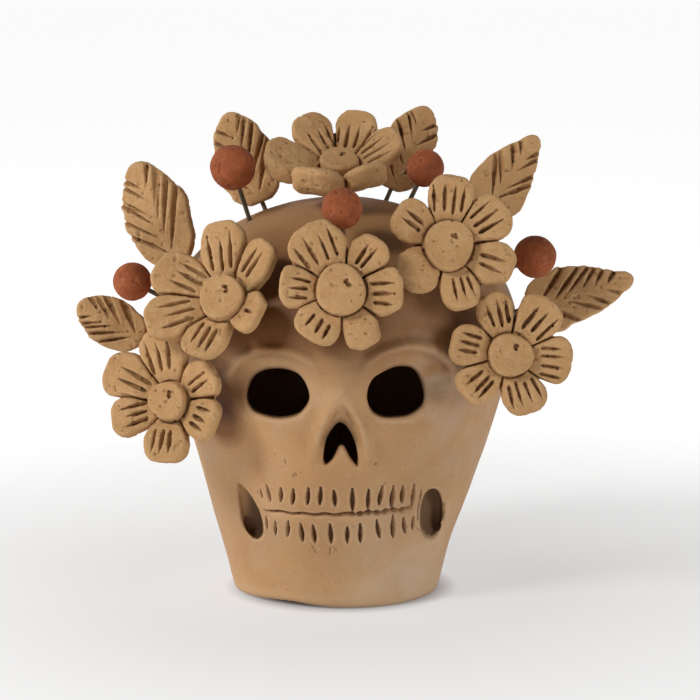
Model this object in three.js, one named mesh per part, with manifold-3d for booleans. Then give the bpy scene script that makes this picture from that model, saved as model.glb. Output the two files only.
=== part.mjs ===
// A hollow fired-clay skull that wears a crown of clay flowers, leaves and berries on iron wires.
// Millimetres, +Z up, the face looks along -Y and +X is on a viewer's right.
// Design frame: X = 0 and Y = 0 on the skull's axis, Z = 0 on the table. The last lines move the
// origin to the middle of the whole object's footprint.
import * as THREE from "three";
import { mergeVertices } from "three/addons/utils/BufferGeometryUtils.js";
import Module from "manifold-3d";

const wasm = await Module();
wasm.setup();

// ---- Driving dimensions ----
const GAP = 0.3; // between pieces that touch, and round a wire in its socket

const CROWN_HALF_WIDTH = 58.5; // the skull's widest ring
const CROWN_Z = 85; // and its height
const DOME_HEIGHT = 45.2; // from the widest ring to the top
const BASE_HALF_WIDTH = 34;
const DEPTH_SHARE = 0.93; // a ring's depth over its width
const BASE_SHIFT = -1.5; // the base sits a little to one side of the crown
const WALL = 7;

const EYE_Z = 74.2;
const EYES = [
  { x: -18.9, halfWidth: 10.4, halfHeight: 7.8 },
  { x: 17.4, halfWidth: 9.3, halfHeight: 8.1 },
];
const EYE_DISH_DEPTH = 3.2;
const NOSE = { x: 0.2, top: 65, bottom: 51.4, halfWidth: 6 };
const CHEEK_PITS = [
  { x: -28.6, z: 31.2, halfWidth: 3.9, halfHeight: 9.4, lean: 12 },
  { x: 29.2, z: 29.8, halfWidth: 3.7, halfHeight: 9, lean: 0 },
];
const CHEEK_PIT_DEPTH = 5;

const WIRE_RADIUS = 0.75;
const SOCKET_RADIUS = WIRE_RADIUS + GAP;
const SHELL_SOCKET_DEPTH = 4;
const CLAY_SOCKET_DEPTH = 2.4; // in a flower's hub
const BERRY_SOCKET_DEPTH = 3.5;
const LEAF_SOCKET_DEPTH = 5;

const PETAL_HALF_THICKNESS = 2.2;
const HUB_BACK = -3.4; // the hub's back face, along the flower's own axis
const SEAT = 0.9; // the flat that a centre disc is pressed on
const DISC_THICKNESS = 3.6;
const LEAF_HALF_THICKNESS = 1.7;
const LEAF_ROOT_HALF_THICKNESS = 2.5;

// Petals are [direction in degrees, reach, width, rise of the tip] in the flower's own plane.
const FLOWERS = [
  {
    name: "top_flower",
    centre: [-0.2, -8, 139.8],
    normal: [-0.05, -0.45, 0.89],
    discRadius: 6.6,
    petals: [
      [123, 24, 15.5, 7.5],
      [81, 23.5, 16, 7.5],
      [30, 21, 15.5, 6],
      [-50, 19, 15, 2.5],
      [-112, 20, 17, 2.5],
      [175, 24.5, 17.5, 4.5],
    ],
  },
  {
    name: "brow_flower",
    centre: [0.2, -57, 106.9],
    normal: [0, -0.97, 0.24],
    discRadius: 8.2,
    petals: [
      [113, 22.9, 15, 1.5],
      [50, 19.4, 12, 2],
      [0, 19.2, 14.5, 1],
      [-69, 19.2, 12.5, 1],
      [-130, 18.4, 14, 1.5],
      [172, 18.6, 13.2, 1.5],
    ],
  },
  {
    name: "left_temple_flower",
    centre: [-35.5, -48, 102.6],
    normal: [-0.36, -0.8, 0.48],
    discRadius: 7.8,
    petals: [
      [104, 25.5, 15.5, 3],
      [58, 22.5, 13, 3],
      [-22, 15.6, 14, 3],
      [-100, 19, 15, 1.5],
      [-158, 26.5, 16, 2],
      [160, 27, 15, 2.5],
    ],
  },
  {
    name: "left_cheek_flower",
    centre: [-53, -42, 69.6],
    normal: [-0.4, -0.88, 0.25],
    discRadius: 6.8,
    petals: [
      [113, 22.5, 14, 1.5],
      [36, 17.6, 14, 1.5],
      [-22, 19.6, 15, 1],
      [-86, 21, 15, 1],
      [-152, 21.5, 14, 1],
      [166, 25, 14.5, 1.5],
    ],
  },
  {
    name: "right_temple_flower",
    centre: [33.3, -45, 119.2],
    normal: [0.12, -0.95, 0.28],
    discRadius: 8.2,
    petals: [
      [84, 22.3, 15.2, 1.5],
      [33, 22.5, 15, 1.5],
      [-21, 21.8, 14, 1],
      [-76, 20.4, 12.8, 1],
      [-144, 18.8, 15.5, 1],
      [143, 19.8, 13.4, 1.5],
    ],
  },
  {
    name: "right_cheek_flower",
    centre: [52.7, -46, 85.2],
    normal: [0.14, -0.975, 0.16],
    discRadius: 7.3,
    petals: [
      [107, 20.3, 12.8, 1.5],
      [49, 22.3, 15.5, 1],
      [-8, 21.6, 14.8, 1],
      [-71, 21, 14, 1],
      [-140, 20, 13.4, 1],
      [166, 19.8, 13.4, 1.5],
    ],
  },
];

// A leaf points from base to tip; its face looks along `face`.
const LEAVES = [
  { name: "crown_left_leaf", base: [-26, 9, 127.6], tip: [-37.5, 13, 156.5], width: 21, face: [-0.1, -1, 0.1] },
  { name: "crown_right_leaf", base: [16.5, 9, 131.8], tip: [28.2, 13, 158.5], width: 18, face: [0.25, -1, 0.1] },
  { name: "upper_left_leaf", base: [-53, -9, 109.2], tip: [-66.6, -5, 141.6], width: 21.5, face: [-0.35, -1, 0.1] },
  { name: "lower_left_leaf", base: [-64, -17, 85.6], tip: [-84.8, -13, 96.6], width: 16.5, face: [-0.3, -1, 0.35] },
  { name: "upper_right_leaf", base: [46.5, -8, 126.8], tip: [63.4, -5, 150.2], width: 16, face: [0.2, -1, 0.2] },
  { name: "lower_right_leaf", base: [61, -14, 95.6], tip: [94.8, -10, 104.6], width: 18, face: [0.1, -1, 0.3] },
];

// A berry's wire runs straight from its centre towards `root`, a point inside the shell.
const BERRIES = [
  { name: "left_berry", centre: [-66.6, -24, 105.5], radius: 6.1, root: [-40, -20, 90.5] },
  { name: "crown_left_berry", centre: [-34.8, -12, 140.9], radius: 7.3, root: [-26.5, -4, 113] },
  { name: "brow_berry", centre: [0.5, -43.5, 131], radius: 6.4, root: [1.5, -35, 106] },
  { name: "crown_right_berry", centre: [27.3, -10, 140.5], radius: 6.2, root: [17, -4, 118] },
  { name: "right_berry", centre: [61.8, -28, 113.9], radius: 6.8, root: [34, -24, 100.5] },
];

// ---- Materials ----
function coat(color, roughness, metalness = 0) {
  return new THREE.MeshStandardMaterial({ color, roughness, metalness });
}

const burnishedClay = () => coat(0xa98560, 0.72);
const sandyClay = () => coat(0xb08b62, 0.95);
const redSlip = () => coat(0x8e4a2e, 0.9);
const darkIron = () => coat(0x4b4238, 0.6, 0.8);

// ---- Solids ----
function solid(geometry, matrix = new THREE.Matrix4()) {
  const plain = new THREE.BufferGeometry();
  plain.setAttribute("position", geometry.getAttribute("position").clone());
  plain.setIndex(geometry.index);
  plain.applyMatrix4(matrix);
  const merged = mergeVertices(plain, 1e-4);
  return new wasm.Manifold(
    new wasm.Mesh({
      numProp: 3,
      vertProperties: new Float32Array(merged.getAttribute("position").array),
      triVerts: new Uint32Array(merged.index.array),
    }),
  );
}

function geometryOf(shape) {
  const data = shape.getMesh();
  const geometry = new THREE.BufferGeometry();
  geometry.setAttribute("position", new THREE.BufferAttribute(data.vertProperties, 3));
  geometry.setIndex(new THREE.BufferAttribute(data.triVerts, 1));
  geometry.computeVertexNormals();
  return geometry;
}

function piece(name, shape, material) {
  const mesh = new THREE.Mesh(geometryOf(shape), material);
  mesh.name = name;
  return mesh;
}

// A closed body through rings of points, each ring counter-clockwise about the way they advance.
function loft(rings) {
  const count = rings[0].length;
  const index = [];
  for (let i = 0; i + 1 < rings.length; i++) {
    for (let j = 0; j < count; j++) {
      const a = i * count + j;
      const b = i * count + ((j + 1) % count);
      index.push(a, b, b + count, a, b + count, a + count);
    }
  }
  const last = (rings.length - 1) * count;
  for (let j = 1; j + 1 < count; j++) {
    index.push(0, j + 1, j, last, last + j, last + j + 1);
  }
  const geometry = new THREE.BufferGeometry().setFromPoints(rings.flat());
  geometry.setIndex(index);
  return geometry;
}

// A rod of eight sides along Z, from `low` to `high`.
function rod(radius, low, high) {
  const geometry = new THREE.CylinderGeometry(radius, radius, high - low, 8);
  geometry.rotateX(Math.PI / 2);
  geometry.translate(0, 0, (low + high) / 2);
  return geometry;
}

const power = (value, exponent) => Math.sign(value) * Math.abs(value) ** exponent;
const clamp = THREE.MathUtils.clamp;

// ---- Skull ----
// The half width of the skull's outer wall at a height: a straight flare, eased into a round dome.
function halfWidthAt(z) {
  if (z >= CROWN_Z) {
    return CROWN_HALF_WIDTH * Math.sqrt(Math.max(0, 1 - ((z - CROWN_Z) / DOME_HEIGHT) ** 2));
  }
  const share = Math.max(z, 0) / CROWN_Z;
  const flare = 1.03 * share ** 1.06 - 0.03 * share ** 8;
  return BASE_HALF_WIDTH + (CROWN_HALF_WIDTH - BASE_HALF_WIDTH) * flare;
}

function shiftAt(z) {
  return BASE_SHIFT * clamp(1 - z / CROWN_Z, 0, 1) ** 2;
}

// One ring of the wall, `inset` inside the outer surface.
function wallRing(z, outerZ, inset, count) {
  const halfWidth = halfWidthAt(outerZ);
  const ring = [];
  for (let k = 0; k < count; k++) {
    const angle = (2 * Math.PI * k) / count;
    const x = shiftAt(outerZ) + (halfWidth - inset) * Math.cos(angle);
    const y = (halfWidth * DEPTH_SHARE - inset) * Math.sin(angle);
    ring.push(new THREE.Vector3(x, y, z));
  }
  return ring;
}

// Rings up the flare, then up the dome by equal angles. The dome is squeezed down by its inset.
function skullBody(inset, low, count, flareRings, domeRings) {
  const rings = [];
  for (let i = 0; i < flareRings; i++) {
    const z = low + ((CROWN_Z - low) * i) / flareRings;
    rings.push(wallRing(z, z, inset, count));
  }
  const squeeze = (DOME_HEIGHT - inset) / DOME_HEIGHT;
  for (let i = 0; i <= domeRings; i++) {
    const rise = DOME_HEIGHT * Math.sin((i / domeRings) * THREE.MathUtils.degToRad(80));
    rings.push(wallRing(CROWN_Z + rise * squeeze, CROWN_Z + rise, inset, count));
  }
  return solid(loft(rings));
}

// How far out a point is: under 1 inside the outer wall.
function reach(point) {
  const halfWidth = halfWidthAt(point.z);
  if (halfWidth === 0) {
    return Infinity;
  }
  return Math.hypot((point.x - shiftAt(point.z)) / halfWidth, point.y / (halfWidth * DEPTH_SHARE));
}

// The distance from a point along a direction to the skull's outer wall.
function distanceToWall(from, direction) {
  const at = (t) => reach(from.clone().addScaledVector(direction, t));
  let outside = 0;
  while (at(outside + 0.5) > 1) {
    outside += 0.5;
  }
  let inside = outside + 0.5;
  for (let i = 0; i < 12; i++) {
    const middle = (outside + inside) / 2;
    if (at(middle) > 1) {
      outside = middle;
    } else {
      inside = middle;
    }
  }
  return inside;
}

// A rounded outline pushed through the front wall, from Y = -70 back to `back`.
function frontCutter(shape, x, z, back) {
  const depth = back + 70;
  const geometry = new THREE.ExtrudeGeometry(shape, { depth, bevelEnabled: false, curveSegments: 5 });
  geometry.rotateX(Math.PI / 2);
  geometry.translate(x, back, z);
  return solid(geometry);
}

function ellipse(halfWidth, halfHeight, lean = 0) {
  return new THREE.Shape().absellipse(
    0, 0, halfWidth, halfHeight, 0, 2 * Math.PI, false, THREE.MathUtils.degToRad(lean),
  );
}

// An upside-down heart: two rounded lobes below, one point above.
function noseShape() {
  const height = NOSE.top - NOSE.bottom;
  const shape = new THREE.Shape();
  shape.moveTo(0, height);
  shape.quadraticCurveTo(NOSE.halfWidth * 0.75, height * 0.7, NOSE.halfWidth, height * 0.2);
  shape.quadraticCurveTo(NOSE.halfWidth * 0.8, -height * 0.12, 0, height * 0.3);
  shape.quadraticCurveTo(-NOSE.halfWidth * 0.8, -height * 0.12, -NOSE.halfWidth, height * 0.2);
  shape.quadraticCurveTo(-NOSE.halfWidth * 0.75, height * 0.7, 0, height);
  return shape;
}

// The outer wall's Y on the face side.
function faceY(x, z) {
  const halfWidth = halfWidthAt(z);
  const across = (x - shiftAt(z)) / halfWidth;
  return -halfWidth * DEPTH_SHARE * Math.sqrt(1 - across ** 2);
}

// A shallow bowl pressed round an eye hole.
function eyeDish(eye) {
  const bowl = new THREE.SphereGeometry(1, 16, 10);
  bowl.scale(eye.halfWidth * 1.75, EYE_DISH_DEPTH * 2, eye.halfHeight * 1.75);
  bowl.translate(eye.x, faceY(eye.x, EYE_Z) - EYE_DISH_DEPTH, EYE_Z);
  return solid(bowl);
}

function skullShell(sockets) {
  let shell = skullBody(0, 0, 40, 9, 9).subtract(skullBody(WALL, -1, 28, 6, 6));
  for (const eye of EYES) {
    shell = shell.subtract(eyeDish(eye));
    shell = shell.subtract(frontCutter(ellipse(eye.halfWidth, eye.halfHeight), eye.x, EYE_Z, -25));
  }
  shell = shell.subtract(frontCutter(noseShape(), NOSE.x, NOSE.bottom, -25));
  for (const pit of CHEEK_PITS) {
    const back = faceY(pit.x, pit.z) + CHEEK_PIT_DEPTH;
    const outline = ellipse(pit.halfWidth, pit.halfHeight, pit.lean);
    shell = shell.subtract(frontCutter(outline, pit.x, pit.z, back));
  }
  for (const socket of sockets) {
    shell = shell.subtract(socket);
  }
  return piece("skull_shell", shell, burnishedClay());
}

// ---- Sprigs: a clay piece on the outer end of a straight wire ----
// A group at `origin` whose Z axis points along `outward`, away from the skull, and whose X axis
// is at right angles to `second`.
function sprigGroup(origin, outward, second) {
  const z = outward.clone().normalize();
  const x = new THREE.Vector3().crossVectors(second, z).normalize();
  const y = new THREE.Vector3().crossVectors(z, x);
  const group = new THREE.Group();
  group.position.copy(origin);
  group.quaternion.setFromRotationMatrix(new THREE.Matrix4().makeBasis(x, y, z));
  group.updateMatrix();
  return group;
}

// The wire from `start` (along the group's Z) into the shell, and the socket that it needs there.
function mountWire(group, name, start) {
  const inward = new THREE.Vector3(0, 0, -1).applyQuaternion(group.quaternion);
  const wall = -distanceToWall(group.position, inward);
  const end = wall - SHELL_SOCKET_DEPTH + GAP;
  group.add(piece(name, solid(rod(WIRE_RADIUS, end, start - GAP)), darkIron()));
  return solid(rod(SOCKET_RADIUS, wall - SHELL_SOCKET_DEPTH, wall + 3), group.matrix);
}

// ---- Flowers ----
// A petal's half width, narrow at its root and round at its tip.
function petalHalfWidth(share, halfWidth) {
  const widest = 0.64;
  if (share <= widest) {
    return halfWidth * (0.5 + 0.5 * Math.sin((share / widest) * (Math.PI / 2)));
  }
  return halfWidth * Math.sqrt(1 - ((share - widest) / (1.01 - widest)) ** 2);
}

function petal([direction, length, width, rise]) {
  const rings = [];
  for (const share of [0, 0.3, 0.62, 0.84, 0.95, 1]) {
    const halfWidth = petalHalfWidth(share, width / 2);
    const rounding = share > 0.84 ? Math.sqrt(1 - ((share - 0.84) / 0.18) ** 2) : 1;
    const ring = [];
    for (let k = 0; k < 8; k++) {
      const angle = (Math.PI * k) / 4;
      const y = halfWidth * power(Math.cos(angle), 0.75);
      const z = rise * share ** 2 + PETAL_HALF_THICKNESS * rounding * power(Math.sin(angle), 0.75);
      ring.push(new THREE.Vector3(length * share, y, z));
    }
    rings.push(ring);
  }
  return solid(loft(rings), new THREE.Matrix4().makeRotationZ(THREE.MathUtils.degToRad(direction)));
}

// Six petals pinched together round a hub, with a flat seat in front and a wire socket behind.
function petalRing(flower) {
  const hub = new THREE.CylinderGeometry(flower.discRadius, flower.discRadius * 0.8, -HUB_BACK, 14);
  hub.rotateX(Math.PI / 2);
  hub.translate(0, 0, HUB_BACK / 2);
  let ring = solid(hub);
  for (const entry of flower.petals) {
    ring = ring.add(petal(entry));
  }
  const seat = new THREE.CylinderGeometry(flower.discRadius + GAP, flower.discRadius + GAP, 8, 20);
  seat.rotateX(Math.PI / 2);
  seat.translate(0, 0, SEAT + 4);
  const socket = rod(SOCKET_RADIUS, HUB_BACK - 2, HUB_BACK + CLAY_SOCKET_DEPTH);
  return ring.subtract(solid(seat)).subtract(solid(socket));
}

function centreDisc(flower) {
  const radius = flower.discRadius;
  const profile = [
    [0, 0],
    [radius * 0.94, 0],
    [radius, DISC_THICKNESS * 0.35],
    [radius * 0.93, DISC_THICKNESS * 0.85],
    [radius * 0.75, DISC_THICKNESS],
    [0, DISC_THICKNESS],
  ];
  const disc = new THREE.LatheGeometry(profile.map(([r, h]) => new THREE.Vector2(r, h)), 16);
  disc.rotateX(Math.PI / 2);
  disc.translate(0, 0, SEAT + GAP);
  return solid(disc);
}

function addFlower(root, flower) {
  const normal = new THREE.Vector3(...flower.normal);
  const group = sprigGroup(new THREE.Vector3(...flower.centre), normal, new THREE.Vector3(0, 0, 1));
  group.add(piece(`${flower.name}_petals`, petalRing(flower), sandyClay()));
  group.add(piece(`${flower.name}_disc`, centreDisc(flower), sandyClay()));
  root.add(group);
  return mountWire(group, `${flower.name}_wire`, HUB_BACK + CLAY_SOCKET_DEPTH);
}

// ---- Leaves ----
// A pointed outline with a notched edge.
function leafHalfWidth(share, halfWidth) {
  const outline = share < 0.42 ? 0.45 + 0.55 * Math.sin((share / 0.42) * (Math.PI / 2)) : 1;
  const point = share < 0.42 ? 1 : Math.sqrt(1 - ((share - 0.42) / 0.59) ** 2.2);
  const notch = 1 - 0.07 * (Math.round(share * 12) % 2);
  return halfWidth * outline * point * notch;
}

function leafBlade(length, width) {
  const rings = [];
  const count = 12;
  for (let i = 0; i <= count; i++) {
    const share = i / count;
    const halfWidth = leafHalfWidth(share, width / 2);
    const taper = clamp(share / 0.35, 0, 1);
    const thickness = THREE.MathUtils.lerp(LEAF_ROOT_HALF_THICKNESS, LEAF_HALF_THICKNESS, taper);
    const ring = [];
    for (let k = 0; k < 8; k++) {
      const angle = (Math.PI * k) / 4;
      const x = halfWidth * power(Math.cos(angle), 0.8);
      const cup = 0.12 * Math.abs(x) * taper;
      const y = cup + thickness * power(Math.sin(angle), 0.8) * (1 - 0.45 * share ** 3);
      ring.push(new THREE.Vector3(x, y, length * share));
    }
    rings.push(ring);
  }
  return solid(loft(rings)).subtract(solid(rod(SOCKET_RADIUS, -1, LEAF_SOCKET_DEPTH)));
}

function addLeaf(root, leaf) {
  const base = new THREE.Vector3(...leaf.base);
  const along = new THREE.Vector3(...leaf.tip).sub(base);
  const group = sprigGroup(base, along, new THREE.Vector3(...leaf.face));
  group.add(piece(leaf.name, leafBlade(along.length(), leaf.width), sandyClay()));
  root.add(group);
  return mountWire(group, `${leaf.name}_wire`, LEAF_SOCKET_DEPTH);
}

// ---- Berries ----
function addBerry(root, berry) {
  const centre = new THREE.Vector3(...berry.centre);
  const outward = centre.clone().sub(new THREE.Vector3(...berry.root));
  const group = sprigGroup(centre, outward, new THREE.Vector3(0, -1, 0));
  const bottom = -berry.radius + BERRY_SOCKET_DEPTH;
  const ball = solid(new THREE.SphereGeometry(berry.radius, 14, 9));
  const drilled = ball.subtract(solid(rod(SOCKET_RADIUS, -berry.radius - 1, bottom)));
  group.add(piece(berry.name, drilled, redSlip()));
  root.add(group);
  return mountWire(group, `${berry.name}_wire`, bottom);
}

// ---- Assembly ----
const root = new THREE.Group();
const sockets = [
  ...FLOWERS.map((flower) => addFlower(root, flower)),
  ...LEAVES.map((leaf) => addLeaf(root, leaf)),
  ...BERRIES.map((berry) => addBerry(root, berry)),
];
root.add(skullShell(sockets));

// The origin is under the middle of the whole object's box, on the table.
const box = new THREE.Box3().setFromObject(root, true);
const middle = box.getCenter(new THREE.Vector3());
root.position.set(-middle.x, -middle.y, -box.min.z);

export default root;
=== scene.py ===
"""A hollow clay skull that wears a crown of clay flowers, leaves and berries on iron wires.

The clay pieces are made as signed distance fields, meshed, and roughened. Lengths here are in
millimetres, and a mesh is turned to metres when it is made. The face looks along -Y.
"""
import math

import bmesh
import bpy
import numpy as np
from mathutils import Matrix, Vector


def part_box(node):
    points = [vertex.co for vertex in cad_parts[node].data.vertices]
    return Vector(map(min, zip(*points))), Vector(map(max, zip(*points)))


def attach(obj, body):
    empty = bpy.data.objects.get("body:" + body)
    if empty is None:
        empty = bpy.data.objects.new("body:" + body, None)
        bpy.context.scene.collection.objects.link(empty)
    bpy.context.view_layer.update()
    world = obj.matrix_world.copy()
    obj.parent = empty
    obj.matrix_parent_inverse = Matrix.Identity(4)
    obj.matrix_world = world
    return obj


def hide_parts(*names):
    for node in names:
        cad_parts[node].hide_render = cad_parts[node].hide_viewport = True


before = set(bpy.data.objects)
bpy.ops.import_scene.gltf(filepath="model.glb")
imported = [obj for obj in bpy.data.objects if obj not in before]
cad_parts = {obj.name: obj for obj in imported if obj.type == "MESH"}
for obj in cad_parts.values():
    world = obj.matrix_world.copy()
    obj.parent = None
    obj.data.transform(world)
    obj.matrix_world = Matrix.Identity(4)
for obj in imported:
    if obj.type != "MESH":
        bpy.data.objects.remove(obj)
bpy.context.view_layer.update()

import openvdb
from mathutils import Vector

MM = 1000.0  # millimetres in a metre
BAND = 3.0  # how far from a surface its distance field is kept
SMOOTHING_ROUNDS = 12
ROOT_BODY = "skull_and_crown"
WIRE_RADIUS = 0.75
SOCKET_RADIUS = 1.05

# Places along a flower's own axis. All but the hub's front are as in the CAD.
WIRE_END = -1.3
HUB_BACK = -3.4
HUB_FRONT = 1.6
SEAT = 0.9
DISC_LOW = 1.2
DISC_THICKNESS = 3.6

LEAF_SOCKET_DEPTH = 5.0
SOCKET_SPARE = 0.3  # how much deeper a socket is than its wire's end

# The first random seed of each kind of piece.
PETAL_SEED, DISC_SEED, LEAF_SEED, BERRY_SEED = 20, 40, 60, 80

# Cell sizes of the distance fields.
SKULL_STEP = 1.4
CLAY_STEP = 0.33
DISC_STEP = 0.3


# ---- Reading the frame ----
def vectors(items, name):
    """One row for each item's vector."""
    rows = np.empty(len(items) * 3, np.float32)
    items.foreach_get(name, rows)
    return rows.reshape(-1, 3)


def node_points(node):
    """The different vertices of a CAD node."""
    points = vectors(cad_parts[node].data.vertices, "co")
    return np.unique(np.round(points * MM, 3), axis=0).astype(float)


def node_centre(node):
    low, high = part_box(node)
    return (np.array(low) + np.array(high)) / 2 * MM


def unit(vector):
    return vector / np.linalg.norm(vector)


def wire_ends(clay_node, wire_node):
    """The wire's end in the shell, and its end in the clay piece."""
    points = node_points(wire_node)
    centre = points.mean(0)
    axis = np.linalg.svd(points - centre)[2][0]
    along = (points - centre) @ axis
    ends = [points[along < 0].mean(0), points[along > 0].mean(0)]
    clay = node_centre(clay_node)
    ends.sort(key=lambda end: -np.linalg.norm(end - clay))
    return ends


class Place:
    """A local frame: an origin and three axes, in the row frame."""

    def __init__(self, origin, x, y, z):
        self.origin = origin
        self.axes = np.array([x, y, z])

    def to_row(self, points):
        return self.origin + points @ self.axes

    def to_local(self, points):
        return (points - self.origin) @ self.axes.T


def flower_place(name):
    inner, outer = wire_ends(name + "_petals", name + "_wire")
    z = unit(outer - inner)
    x = unit(np.cross([0, 0, 1], z))
    return Place(outer - z * WIRE_END, x, np.cross(z, x), z)


def leaf_place(name):
    """X runs from base to tip, Z out of the leaf's face, towards the front."""
    inner, outer = wire_ends(name, name + "_wire")
    x = unit(outer - inner)
    points = node_points(name)
    spread = points - points.mean(0)
    spread = spread - np.outer(spread @ x, x)
    z = np.linalg.svd(spread)[2][1]
    z = z if z[1] < 0 else -z
    origin = outer + x * (SOCKET_SPARE - LEAF_SOCKET_DEPTH)
    length = ((points - origin) @ x).max()
    return Place(origin, x, np.cross(z, x), z), length


skull_low, skull_high = (np.array(corner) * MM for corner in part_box("skull_shell"))
AXIS = np.array([(skull_low[0] + skull_high[0]) / 2, (skull_low[1] + skull_high[1]) / 2, 0])


# ---- Fields and noise ----
def smooth_max(a, b, blend):
    """The larger of two fields, with the edge where they meet rounded."""
    h = np.clip(0.5 + 0.5 * (a - b) / blend, 0, 1)
    return b + (a - b) * h + blend * h * (1 - h)


def smooth_min(a, b, blend):
    return -smooth_max(-a, -b, blend)


def smooth_step(value, low, high):
    share = np.clip((value - low) / (high - low), 0, 1)
    return share * share * (3 - 2 * share)


def outline_distance(u, v, outline):
    """Signed distance in a plane to a closed outline of points, under zero inside."""
    best = np.full(np.broadcast(u, v).shape, 1e9)
    inside = np.zeros(best.shape, bool)
    for (ax, ay), (bx, by) in zip(outline, np.roll(outline, -1, axis=0)):
        ex, ey = bx - ax, by - ay
        wu, wv = u - ax, v - ay
        share = np.clip((wu * ex + wv * ey) / (ex * ex + ey * ey), 0, 1)
        best = np.minimum(best, (wu - ex * share) ** 2 + (wv - ey * share) ** 2)
        if ay != by:
            crosses = (ay > v) != (by > v)
            inside ^= crosses & (u < (bx - ax) * (v - ay) / (by - ay) + ax)
    return np.where(inside, -1, 1) * np.sqrt(best)


def segment_distance(x, y, z, start, end):
    """Distance from points to a straight segment."""
    step = np.subtract(end, start)
    ways = [place - begin for place, begin in zip((x, y, z), start)]
    share = np.clip(sum(way * part for way, part in zip(ways, step)) / step.dot(step), 0, 1)
    return np.sqrt(sum((way - share * part) ** 2 for way, part in zip(ways, step)))


def groove(x, y, z, start, end, half_width, depth):
    """A slot pressed into a face at height zero, deep at its start and fading to its end."""
    step = np.subtract(end, start)
    share = np.clip(((x - start[0]) * step[0] + (y - start[1]) * step[1]) / step.dot(step), 0, 1)
    side = np.hypot(x - start[0] - share * step[0], y - start[1] - share * step[1])
    taper = np.clip(0.55 + 5 * share, 0, 1) * np.clip(0.2 + 1.9 * (1 - share), 0, 1)
    return half_width * (taper - np.hypot(side / half_width, np.minimum(z, 0) / depth))


def slab(outline, height, half_thickness, rounding):
    """A plate of a given outline distance, with rounded edges."""
    side = outline + rounding
    face = np.abs(height) - (half_thickness - rounding)
    outside = np.hypot(np.maximum(side, 0), np.maximum(face, 0))
    return outside + np.minimum(np.maximum(side, face), 0) - rounding


def noise(points, size, seed):
    """Smooth noise from -1 to 1, with bumps about `size` across."""
    cells = 32
    lattice = np.random.default_rng(seed).uniform(-1, 1, (cells, cells, cells))
    at = points / size
    base = np.floor(at).astype(int)
    share = at - base
    share = share * share * (3 - 2 * share)
    total = 0
    for corner in np.ndindex(2, 2, 2):
        i, j, k = ((base[:, axis] + corner[axis]) % cells for axis in range(3))
        weight = 1
        for axis in range(3):
            weight = weight * (share[:, axis] if corner[axis] else 1 - share[:, axis])
        total = total + weight * lattice[i, j, k]
    return total


def grid(low, high, step):
    """Open X, Y and Z coordinate arrays of a box of cells."""
    counts = np.ceil((np.array(high) - low) / step).astype(int) + 1
    axes = [low[n] + step * np.arange(counts[n], dtype=np.float32) for n in range(3)]
    return np.ix_(*axes)


def surface(values, low, step):
    """Points and four-cornered faces of a field's zero level."""
    volume = openvdb.FloatGrid(BAND)
    volume.copyFromArray(np.clip(values, -BAND, BAND).astype(np.float32))
    points, quads = volume.convertToQuads(0.0)
    return np.array(low) + points.astype(float) * step, quads.astype(np.int32)


# ---- Meshes ----
def shade_smooth(mesh):
    mesh.polygons.foreach_set("use_smooth", np.full(len(mesh.polygons), True))


def make_mesh(name, points, faces):
    mesh = bpy.data.meshes.new(name)
    count, corners = faces.shape
    mesh.vertices.add(len(points))
    mesh.vertices.foreach_set("co", (points / MM).astype(np.float32).ravel())
    mesh.loops.add(count * corners)
    mesh.loops.foreach_set("vertex_index", faces.astype(np.int32).ravel())
    mesh.polygons.add(count)
    starts = np.arange(0, count * corners, corners, dtype=np.int32)
    mesh.polygons.foreach_set("loop_start", starts)
    mesh.update(calc_edges=True)
    mesh.validate()
    shade_smooth(mesh)
    return mesh


def polygon_mesh(name, points, faces):
    """A mesh whose faces may have any number of corners."""
    mesh = bpy.data.meshes.new(name)
    mesh.from_pydata((np.array(points) / MM).tolist(), [], faces)
    return mesh


def mesh_points(mesh):
    return vectors(mesh.vertices, "co").astype(float) * MM


def mesh_normals(mesh):
    return vectors(mesh.vertex_normals, "vector").astype(float)


def move_points(mesh, points):
    mesh.vertices.foreach_set("co", (points / MM).astype(np.float32).ravel())
    mesh.update()


def push(mesh, heights):
    """Moves each point along its normal."""
    move_points(mesh, mesh_points(mesh) + mesh_normals(mesh) * heights[:, None])


def mark_hollows(mesh, least=0):
    """Stores how far each point lies in a groove or on an edge, from 0 to 1, for the materials' painted
    shade in grooves and painted highlight on edges.

    A point lies in a groove when the mesh, smoothed, would stand above it. No point's share of
    a groove is under `least`.
    """
    points, count = mesh_points(mesh), len(mesh.vertices)
    ends = np.empty(len(mesh.edges) * 2, np.int32)
    mesh.edges.foreach_get("vertices", ends)
    first, second = ends[::2], ends[1::2]
    neighbours = np.bincount(ends, minlength=count)[:, None]
    soft = points
    for _ in range(SMOOTHING_ROUNDS):
        total = [
            np.bincount(first, soft[second, n], count) + np.bincount(second, soft[first, n], count)
            for n in range(3)
        ]
        soft = (soft + np.stack(total, 1) / neighbours) / 2
    depth = ((soft - points) * mesh_normals(mesh)).sum(1)
    hollow = np.maximum(smooth_step(depth, 0.03, 0.30), least)
    for name, share in (("hollow", hollow), ("crest_highlight", smooth_step(-depth, 0.02, 0.2))):
        store = mesh.attributes.new(name, "FLOAT", "POINT")
        store.data.foreach_set("value", share.astype(np.float32))


def add_object(name, data):
    made = bpy.data.objects.new(name, data)
    bpy.context.scene.collection.objects.link(made)
    return made


def add_piece(name, mesh, material, body, node):
    piece = add_object(name, mesh)
    mesh.materials.clear()
    mesh.materials.append(material)
    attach(piece, body)
    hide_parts(node)
    return piece


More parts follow.
